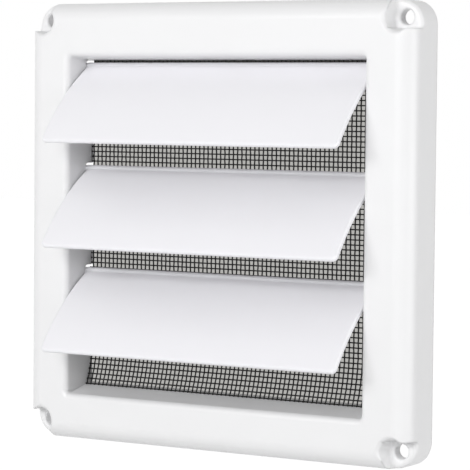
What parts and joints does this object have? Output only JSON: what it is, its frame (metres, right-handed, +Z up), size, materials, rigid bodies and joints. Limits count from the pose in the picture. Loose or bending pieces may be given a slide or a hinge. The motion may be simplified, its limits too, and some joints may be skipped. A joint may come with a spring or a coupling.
{
  "type": "dryer vent cap",
  "caption": "Louvred wall cap for a dryer vent: square hollow frame with rounded rim, bowed gravity flaps on pins and a fine insect screen behind them.",
  "frame": {"origin": "middle of the square wall face at the back of the frame", "axes": "+Z up the wall, +Y into the wall, -Y out of the wall towards the viewer, +X to the viewer's right"},
  "size_m": [0.165, 0.0363, 0.165],
  "materials": {
    "frame": "satin white moulded plastic",
    "flap": "satin white moulded plastic",
    "screen": "black coated yarn"
  },
  "bodies": {
    "cap": {"frame": "frame", "screen": "screen"},
    "top": {"flap_top": "flap"},
    "middle": {"flap_middle": "flap"},
    "bottom": {"flap_bottom": "flap"}
  },
  "joints": [
    {"name": "top_hinge", "type": "hinge", "parent": "cap", "child": "top", "pos_m": [0, -0.0054, 0.0589], "axis": [-1, 0, 0], "range_deg": [-43, 33]},
    {"name": "middle_hinge", "type": "hinge", "parent": "cap", "child": "middle", "pos_m": [0, -0.0054, 0.0199], "axis": [-1, 0, 0], "range_deg": [-43, 33]},
    {"name": "bottom_hinge", "type": "hinge", "parent": "cap", "child": "bottom", "pos_m": [0, -0.0054, -0.0191], "axis": [-1, 0, 0], "range_deg": [-43, 33]}
  ],
  "couplings": [
    {"joint": "middle_hinge", "follows": "bottom_hinge", "ratio": 1},
    {"joint": "top_hinge", "follows": "bottom_hinge", "ratio": 1}
  ]
}
